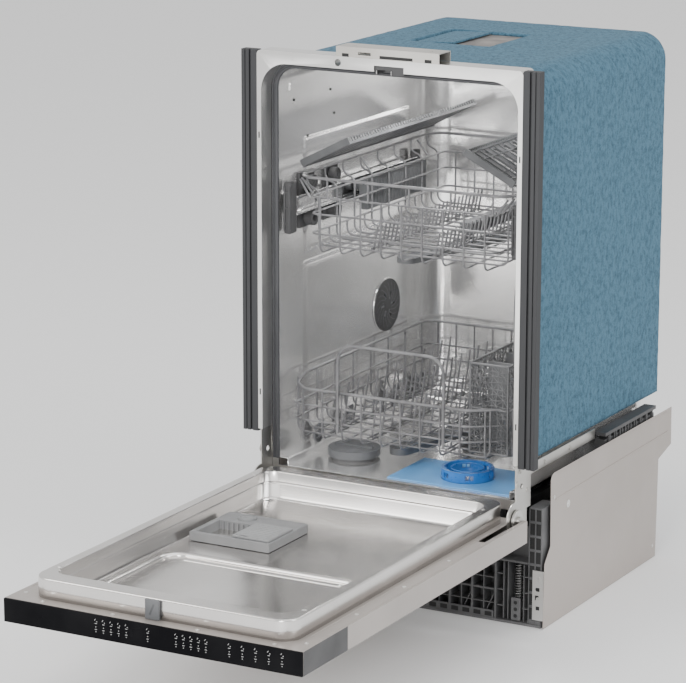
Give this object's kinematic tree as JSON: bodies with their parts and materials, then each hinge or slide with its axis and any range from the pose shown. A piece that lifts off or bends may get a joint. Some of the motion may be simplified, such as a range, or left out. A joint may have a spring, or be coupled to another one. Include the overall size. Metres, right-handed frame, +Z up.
{
  "type": "built-in dishwasher",
  "caption": "Slim fully integrated dishwasher with a drop-down door, a steel wash tub in felt, sliding wire racks, spray arms, filter and a black base with side panels.",
  "frame": {"origin": "on the underside of the base tray, midway across, 265 mm behind the front frame's face: the middle of the machine's footprint", "axes": "+X to the right seen from the front, +Y from front to back, +Z up"},
  "size_m": [0.47, 1.1505, 0.8265],
  "materials": {
    "polished_steel": "mirror-polished stainless steel",
    "satin_steel": "satin stainless steel",
    "beige_steel": "warm grey coated steel sheet",
    "cream_steel": "cream coated steel",
    "zinc_plate": "zinc plated steel",
    "chrome_rail": "polished",
    "spring_steel": "oil-blackened spring wire",
    "rack_wire": "grey nylon-coated wire",
    "grooved_rubber": "matte",
    "seal_rubber": "matte",
    "teal_felt": "needled felt with pressed dimples",
    "black_plastic": "moulded",
    "gloss_black": "gloss",
    "grey_plastic": "moulded",
    "dark_grey_plastic": "moulded",
    "dispenser_grey": "moulded",
    "basket_grey": "moulded lattice",
    "white_plastic": "moulded",
    "blue_filter": "moulded",
    "circuit_green": "lacquered circuit board"
  },
  "bodies": {
    "cabinet": {"tub": "polished_steel", "front_frame": "satin_steel", "side_strip_left": "grooved_rubber", "side_strip_right": "grooved_rubber", "tub_gasket": "seal_rubber", "felt_wrap": "teal_felt", "worktop_bracket": "cream_steel", "door_lock": "black_plastic", "hinge_plate_left": "beige_steel", "hinge_plate_right": "beige_steel", "base_tray": "black_plastic", "base_panel_left": "beige_steel", "base_panel_right": "beige_steel", "corner_plates": "zinc_plate", "sump": "black_plastic", "circulation_pump": "black_plastic", "drain_pump": "black_plastic", "softener_tank": "white_plastic", "air_break_tank": "black_plastic", "heater": "satin_steel", "inlet_valve": "white_plastic", "filter_plate": "blue_filter", "wall_vent": "black_plastic", "roller_brackets": "black_plastic", "door_springs": "spring_steel"},
    "foot_front_left": {"foot_front_left": "black_plastic"},
    "foot_front_right": {"foot_front_right": "black_plastic"},
    "foot_rear": {"foot_rear": "black_plastic"},
    "salt_cap": {"salt_cap": "grey_plastic"},
    "filter_cup": {"filter_cup": "blue_filter"},
    "lower_spray_arm": {"lower_spray_arm": "dark_grey_plastic"},
    "rails": {"rack_rail_left": "chrome_rail", "rack_rail_right": "chrome_rail"},
    "wall_rollers_front": {"wall_rollers_front": "black_plastic"},
    "wall_rollers_rear": {"wall_rollers_rear": "black_plastic"},
    "door": {"door_shell": "beige_steel", "door_liner": "polished_steel", "hinge_arms": "zinc_plate", "control_panel": "gloss_black", "control_board": "circuit_green", "door_latch": "grey_plastic", "dispenser_body": "dispenser_grey"},
    "dispenser_lid": {"dispenser_lid": "dispenser_grey"},
    "rinse_cap": {"rinse_cap": "dispenser_grey"},
    "rack_carriage": {"height_adjusters": "dark_grey_plastic"},
    "upper_rack": {"upper_rack_floor": "rack_wire", "upper_rack_ends": "rack_wire", "upper_rack_sides": "rack_wire", "upper_spray_feed": "dark_grey_plastic"},
    "upper_spray_arm": {"upper_spray_arm": "dark_grey_plastic"},
    "cup_shelf_left": {"cup_shelf_left": "dark_grey_plastic"},
    "cup_shelf_right": {"cup_shelf_right": "dark_grey_plastic"},
    "lower_rack": {"lower_rack_floor": "rack_wire", "lower_rack_ends": "rack_wire", "lower_rack_sides": "rack_wire"},
    "lower_wheels_1": {"lower_wheels_1": "grey_plastic"},
    "lower_wheels_2": {"lower_wheels_2": "grey_plastic"},
    "lower_wheels_3": {"lower_wheels_3": "grey_plastic"},
    "lower_wheels_4": {"lower_wheels_4": "grey_plastic"},
    "cutlery_basket": {"cutlery_basket": "basket_grey"}
  },
  "joints": [
    {"name": "door_hinge", "type": "hinge", "parent": "cabinet", "child": "door", "pos_m": [0, -0.265, 0.177], "axis": [-1, 0, 0], "range_deg": [0, 90], "deforming": ["door_springs"]},
    {"name": "upper_rack_slide", "type": "slide", "parent": "cabinet", "child": "rack_carriage", "axis": [0, 1, 0], "range_m": [-0.4, 0]},
    {"name": "rack_height", "type": "slide", "parent": "rack_carriage", "child": "upper_rack", "axis": [0, 0, 1], "range_m": [0, 0.045]},
    {"name": "rail_slide", "type": "slide", "parent": "cabinet", "child": "rails", "axis": [0, 1, 0], "range_m": [-0.23, 0]},
    {"name": "front_roller_spin", "type": "hinge", "parent": "cabinet", "child": "wall_rollers_front", "pos_m": [0, -0.155, 0.606], "axis": [1, 0, 0], "continuous": true},
    {"name": "rear_roller_spin", "type": "hinge", "parent": "cabinet", "child": "wall_rollers_rear", "pos_m": [0, -0.085, 0.606], "axis": [1, 0, 0], "continuous": true},
    {"name": "lower_rack_slide", "type": "slide", "parent": "cabinet", "child": "lower_rack", "axis": [0, 1, 0], "range_m": [-0.45, 0]},
    {"name": "basket_lift", "type": "slide", "parent": "lower_rack", "child": "cutlery_basket", "axis": [0, 0, 1], "range_m": [0, 0.008]},
    {"name": "left_shelf_fold", "type": "hinge", "parent": "upper_rack", "child": "cup_shelf_left", "pos_m": [-0.165, -0.003, 0.641], "axis": [0, 1, 0], "range_deg": [-52, 0]},
    {"name": "right_shelf_fold", "type": "hinge", "parent": "upper_rack", "child": "cup_shelf_right", "pos_m": [0.165, -0.003, 0.641], "axis": [0, 1, 0], "range_deg": [0, 52]},
    {"name": "upper_arm_spin", "type": "hinge", "parent": "upper_rack", "child": "upper_spray_arm", "pos_m": [0, -0.003, 0.504], "axis": [0, 0, 1], "continuous": true},
    {"name": "lower_arm_spin", "type": "hinge", "parent": "cabinet", "child": "lower_spray_arm", "pos_m": [0, -0.003, 0.221], "axis": [0, 0, 1], "continuous": true},
    {"name": "dispenser_lid_slide", "type": "slide", "parent": "door", "child": "dispenser_lid", "axis": [-1, 0, 0], "range_m": [0, 0.056]},
    {"name": "rinse_cap_turn", "type": "hinge", "parent": "door", "child": "rinse_cap", "pos_m": [-0.12, -0.449, 0.178], "axis": [0, 0, 1], "range_deg": [0, 90]},
    {"name": "salt_cap_turn", "type": "hinge", "parent": "cabinet", "child": "salt_cap", "pos_m": [-0.118, -0.14, 0.205], "axis": [0, 0, 1], "range_deg": [0, 450]},
    {"name": "filter_cup_turn", "type": "hinge", "parent": "cabinet", "child": "filter_cup", "pos_m": [0.08, -0.16, 0.205], "axis": [0, 0, 1], "range_deg": [0, 45]},
    {"name": "front_left_foot_screw", "type": "slide", "parent": "cabinet", "child": "foot_front_left", "axis": [0, 0, 1], "range_m": [-0.04, 0]},
    {"name": "front_right_foot_screw", "type": "slide", "parent": "cabinet", "child": "foot_front_right", "axis": [0, 0, 1], "range_m": [-0.04, 0]},
    {"name": "rear_foot_screw", "type": "slide", "parent": "cabinet", "child": "foot_rear", "axis": [0, 0, 1], "range_m": [-0.04, 0]},
    {"name": "lower_wheel_1_roll", "type": "hinge", "parent": "lower_rack", "child": "lower_wheels_1", "pos_m": [0, -0.131, 0.2208], "axis": [1, 0, 0], "continuous": true},
    {"name": "lower_wheel_2_roll", "type": "hinge", "parent": "lower_rack", "child": "lower_wheels_2", "pos_m": [0, -0.039, 0.2208], "axis": [1, 0, 0], "continuous": true},
    {"name": "lower_wheel_3_roll", "type": "hinge", "parent": "lower_rack", "child": "lower_wheels_3", "pos_m": [0, 0.11, 0.2208], "axis": [1, 0, 0], "continuous": true},
    {"name": "lower_wheel_4_roll", "type": "hinge", "parent": "lower_rack", "child": "lower_wheels_4", "pos_m": [0, 0.197, 0.2208], "axis": [1, 0, 0], "continuous": true}
  ],
  "couplings": [
    {"joint": "rail_slide", "follows": "upper_rack_slide", "ratio": 0.575}
  ]
}
